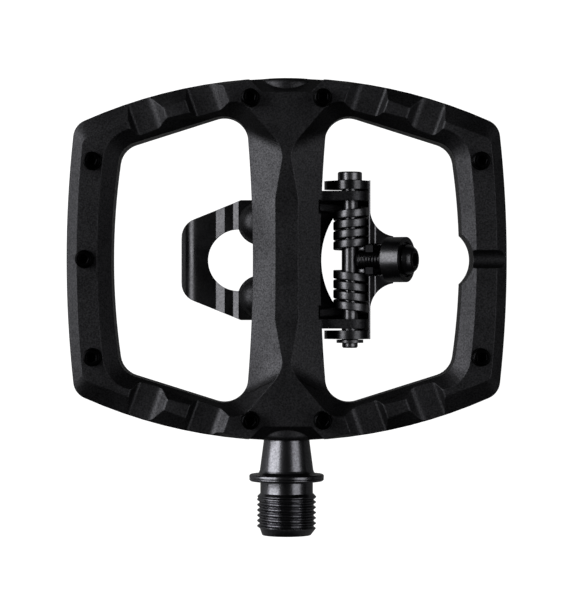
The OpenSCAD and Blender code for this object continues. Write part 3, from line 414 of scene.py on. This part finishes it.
def spring_grid(side):
    """Flat wire: at the angle a its middle is COIL_R out along (cos(tilt - a), sin(tilt - a)).
    Its section is a squircle WIRE_T deep, as wide as its two edges along the pin, which widen
    evenly up to the angle FIRST and then move out by one pitch a turn. Legs run on straight."""
    coil = np.linspace(0, LAST, 420)
    leg_in = np.array([-1.2, -1.18, -1.1, -0.6])
    leg_out = np.array([2.0, 4.0, 6.0, 7.45, 7.55, 7.6])
    a = np.concatenate([0 * leg_in, coil, LAST + 0 * leg_out])[:, None]
    along = np.concatenate([leg_in, 0 * coil, leg_out])[:, None]
    size = np.ones((len(a), 1))
    size[:3, 0] = 0.0, 0.8, 0.95
    size[-2:, 0] = 0.85, 0.0
    widen = np.clip(a / FIRST, 0, 1)
    climb = (WIRE_W + COIL_GAP) * np.clip(a - FIRST, 0, None) / (2 * np.pi)
    low = LEG_Y[0] + (COIL_Y0 - LEG_Y[0]) * widen + climb
    high = LEG_Y[1] + (COIL_Y0 + WIRE_W - LEG_Y[1]) * widen + climb
    lean = np.where(along > 0, LEG_LEAN * along / leg_out[-1], 0)
    t = np.linspace(0, 2 * np.pi, 28, endpoint=False)[None, :]
    u = WIRE_T / 2 * np.sign(np.cos(t)) * np.abs(np.cos(t)) ** CORNER * size
    v = (high - low) / 2 * np.sign(np.sin(t)) * np.abs(np.sin(t)) ** CORNER * size
    out_x, out_z = np.cos(TILT - a), np.sin(TILT - a)
    x = (COIL_R + u) * out_x + along * out_z + COIL_X
    z = (COIL_R + u) * out_z - along * out_x
    y = side * ((low + high) / 2 + lean + v)
    grid = np.stack([x, y, z], axis=2) + PIVOT
    return grid[:, ::-1] if side > 0 else grid


for name, node, side in (("outboard_torsion_spring", "spring_outboard", 1),
                         ("inboard_torsion_spring", "spring_inboard", -1)):
    coil = surface(name, [spring_grid(side)], 50)
    put_on(coil, "platform", "spring_steel", blued_steel, node)

# ---- tension screw -------------------------------------------------------------------------
# A domed steel screw with a hexagon socket, held between the jaw's counterbore and a snap ring,
# and the square nut that it draws along the jaw's slot. Blackened.
SCREW_AXIS = (np.cos(TILT), 0, np.sin(TILT))
SCREW_PITCH, SCREW_DEPTH, SCREW_HEX = 0.8, 0.34, 3.0
TIP_AT, COLLAR_AT, HEAD_AT = 2.3, 13.25, 14.5       # distances from the pivot, along the screw
COLLAR_R, COLLAR_T, SHANK_R = 4.1, 0.55, 3.0
screw_profile = [
    (HEAD_AT + 0.9, 0, 1), (HEAD_AT + 0.9, SCREW_HEX / 2, 1), (HEAD_AT + 2.72, SCREW_HEX / 2, 1),
    (HEAD_AT + 2.8, SCREW_HEX / 2 + 0.12, 1), (HEAD_AT + 2.8, 2.3, 0), (HEAD_AT + 2.6, 2.75, 0),
    (HEAD_AT + 1.9, 3.3, 0), (HEAD_AT + 0.9, 3.65, 0), (HEAD_AT + 0.3, 3.7, 0), (HEAD_AT, 3.55, 0),
    (HEAD_AT, SHANK_R, 0), (COLLAR_AT + COLLAR_T, SHANK_R, 0), (COLLAR_AT + COLLAR_T, COLLAR_R, 0),
    (COLLAR_AT, COLLAR_R, 0), (COLLAR_AT, SCREW_R, 0), (TIP_AT + 0.4, SCREW_R, 0),
    (TIP_AT, SCREW_R - 0.4, 0), (TIP_AT, 0, 0)]
screw_rows = with_thread(eased(screw_profile, 0.15)[::-1], TIP_AT + 0.6, COLLAR_AT - 0.35, SCREW_PITCH)
screw_thread = (TIP_AT + 0.1, COLLAR_AT - 0.15, SCREW_PITCH, SCREW_DEPTH, 1)
screw = surface("domed_tension_screw", [placed(turned(screw_rows, 72, screw_thread),
                                               PIVOT, (0, 1, 0), SCREW_AXIS)])
put_on(screw, "adjuster", "black_steel", black_oxide, "tension_screw")
nut = smooth_copy("tension_nut", "square_tension_nut", 30, 0.15)
put_on(nut, "adjuster_nut", "black_steel", pin_black, "tension_nut")
screw_ring = smooth_copy("tension_ring", "screw_snap_ring", 30, 0.1)
put_on(screw_ring, "jaw", "spring_steel", blued_steel, "tension_ring")

# ---- light table, lamps and camera ---------------------------------------------------------
# The pedal is held by its thread over a glowing white table. A wide softbox stands low on its
# left, a weaker one higher on its right, and the camera hangs over it.
REACH = 4.0
table_z = -cad_bounds[1][0] - 8 * MM        # clear of the platform as it spins
table_mesh = bpy.data.meshes.new("light_table")
table_mesh.from_pydata([(-REACH, -REACH, table_z), (REACH, -REACH, table_z), (REACH, REACH, table_z),
                        (-REACH, REACH, table_z)], [], [(0, 1, 2, 3)])
table = bpy.data.objects.new("light_table", table_mesh)
bpy.context.scene.collection.objects.link(table)
opal, opal_tree, opal_shader = new_material("glowing_opal_acrylic")
opal_shader.inputs["Base Color"].default_value = linear("#707070")
opal_shader.inputs["Roughness"].default_value = 0.6
opal_shader.inputs["Emission Color"].default_value = (1, 1, 1, 1)
# The table and the sky glow for the eye alone, so that they don't grey the black metal.
opal_seen = add(opal_tree, "LightPath").outputs["Is Camera Ray"]
opal_tree.links.new(opal_seen, opal_shader.inputs["Emission Strength"])
table_mesh.materials.append(opal)


def softbox(name, lean_deg, distance, width, length, power, shift_y=0.0):
    """An area lamp at distance metres from the platform's middle, leaning lean_deg from the
    zenith towards +X, and moved by shift_y along the spindle."""
    lamp = bpy.data.lights.new(name, "AREA")
    lamp.shape = "RECTANGLE"
    lamp.size, lamp.size_y, lamp.energy = width, length, power
    box = bpy.data.objects.new(name, lamp)
    lean = np.radians(lean_deg)
    box.location = (distance * np.sin(lean), MID_Y * MM + shift_y, distance * np.cos(lean))
    box.rotation_euler = (0, lean, 0)
    bpy.context.scene.collection.objects.link(box)


softbox("left_softbox", -60, 0.7, 0.68, 0.6, 7.3, 0.16)
softbox("right_softbox", 44, 0.7, 0.42, 0.6, 1.85)

world = bpy.data.worlds.new("studio")
bpy.context.scene.world = world
world.use_nodes = True
sky = world.node_tree
sky.nodes.clear()
seen = add(sky, "LightPath").outputs["Is Camera Ray"]
glow = add(sky, "MapRange", {"Value": seen, "To Min": 0.02, "To Max": 0.9})
add(sky, "OutputWorld", {"Surface": add(sky, "Background", {
    "Color": (1, 1, 1, 1), "Strength": glow.outputs[0]}).outputs[0]})
bpy.context.scene.view_settings.view_transform = "Standard"

CAMERA_HEIGHT = 0.6
VIEW_WIDTH = 0.1446
camera_data = bpy.data.cameras.new("camera")
camera_data.sensor_width = 36
camera_data.lens = CAMERA_HEIGHT * 36 / VIEW_WIDTH
camera_data.clip_end = 20
camera = bpy.data.objects.new("camera", camera_data)
camera.location = (-1.23 * MM, 43.6 * MM, CAMERA_HEIGHT)
bpy.context.scene.collection.objects.link(camera)
bpy.context.scene.camera = camera
